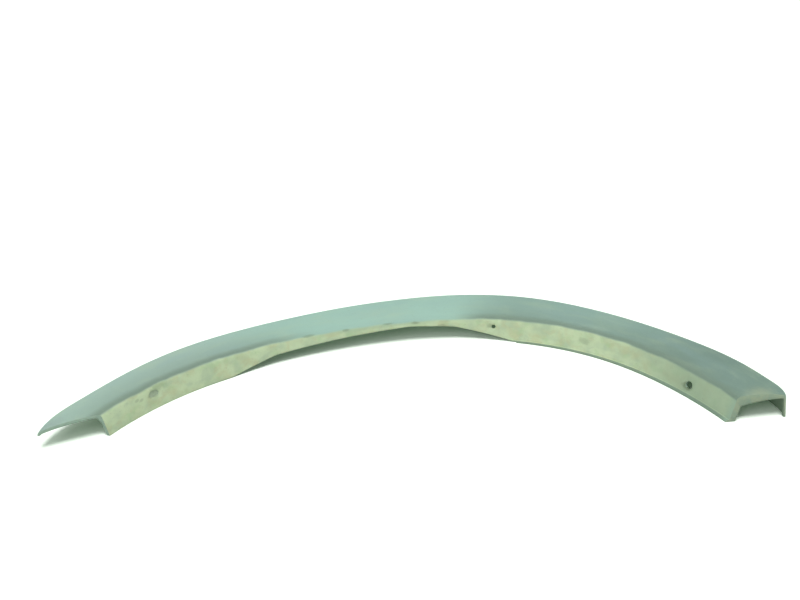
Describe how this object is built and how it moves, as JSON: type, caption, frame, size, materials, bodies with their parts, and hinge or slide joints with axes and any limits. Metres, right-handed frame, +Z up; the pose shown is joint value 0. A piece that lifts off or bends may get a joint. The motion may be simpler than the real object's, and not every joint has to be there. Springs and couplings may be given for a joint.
{
  "type": "fender flare",
  "caption": "One-piece moulded wheel-arch fender flare: open channel section, pointed tail, cut-out inner flange with screw holes.",
  "frame": {"origin": "middle of the plan box, on the floor that the open side lies on", "axes": "+X from the pointed tail to the open front end, +Y towards the outside of the arch, +Z up through the roof of the channel"},
  "size_m": [0.8404, 0.3016, 0.0315],
  "materials": {
    "weathered_plastic": "weathered matte, dusty inner flange"
  },
  "bodies": {
    "root": {"flare_moulding": "weathered_plastic"}
  },
  "joints": []
}
